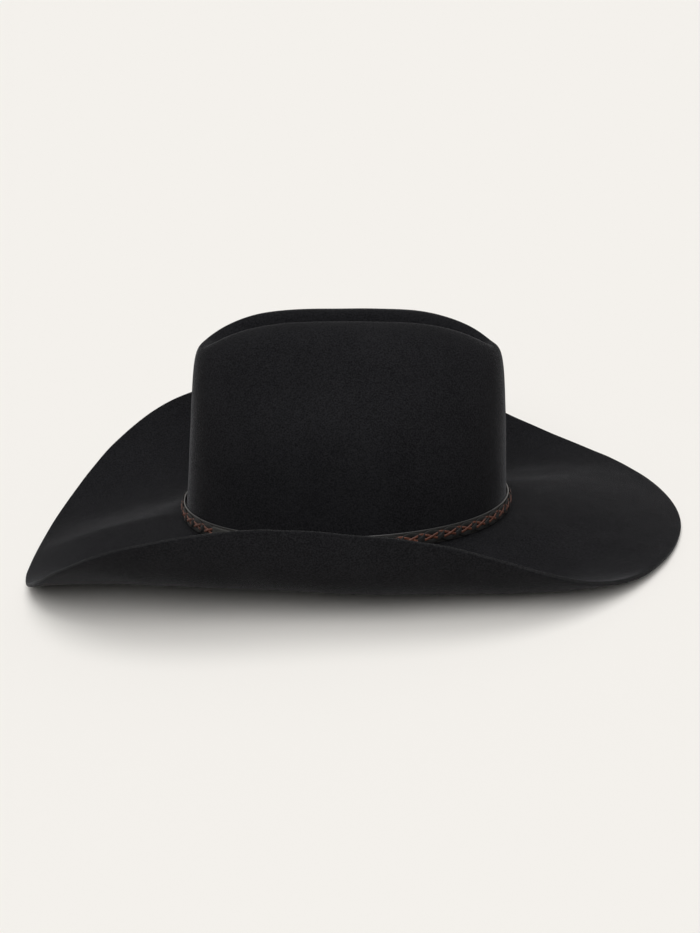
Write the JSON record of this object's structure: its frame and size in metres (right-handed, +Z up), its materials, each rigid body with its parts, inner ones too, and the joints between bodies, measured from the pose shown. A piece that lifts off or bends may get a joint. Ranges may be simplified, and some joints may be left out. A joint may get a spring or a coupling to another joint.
{
  "type": "cowboy hat",
  "caption": "Felt cowboy hat with a creased crown, a wide brim rolled up at the sides, a braided leather band, a leather sweatband and a satin lining; it shades and covers the head.",
  "frame": {"origin": "on the resting surface, under the middle of the hat's length and width", "axes": "+X towards the back of the hat, -X towards its front, -Y towards the wearer's left, +Z up from the resting surface; the hat stands on the front and back of its brim as it does on a table"},
  "size_m": [0.4231, 0.3354, 0.149],
  "materials": {
    "felt": "matt fur felt",
    "strap_leather": "smooth satin",
    "brown_lace": "smooth satin",
    "black_lace": "smooth satin",
    "tab_leather": "smooth satin",
    "black_thread": "matt thread",
    "sweatband_leather": "smooth satin",
    "reed_plastic": "matt",
    "reed_tape": "matt woven tape",
    "tan_thread": "matt thread",
    "patch_leather": "smooth satin",
    "ribbon": "satin ribbon",
    "tag_paper": "matt",
    "lining_satin": "satin cloth",
    "piping_satin": "satin cord"
  },
  "bodies": {
    "root": {"felt_body": "felt", "hatband_strap": "strap_leather", "braid_brown_1": "brown_lace", "braid_brown_2": "brown_lace", "braid_black_1": "black_lace", "braid_black_2": "black_lace", "hatband_tab_front": "tab_leather", "hatband_tab_rear": "tab_leather", "hatband_keeper": "tab_leather", "tab_stitches": "black_thread", "band_tacks": "black_thread", "sweatband": "sweatband_leather", "sweatband_reed": "reed_plastic", "reed_tape": "reed_tape", "sweatband_stitches": "tan_thread", "seam_patch": "patch_leather", "seam_patch_stitches": "tan_thread", "bow_ribbon": "ribbon", "bow_wrap": "ribbon", "size_tag": "tag_paper", "lining_side": "lining_satin", "lining_tip": "lining_satin", "lining_piping": "piping_satin", "lining_stitches": "black_thread"}
  },
  "joints": []
}
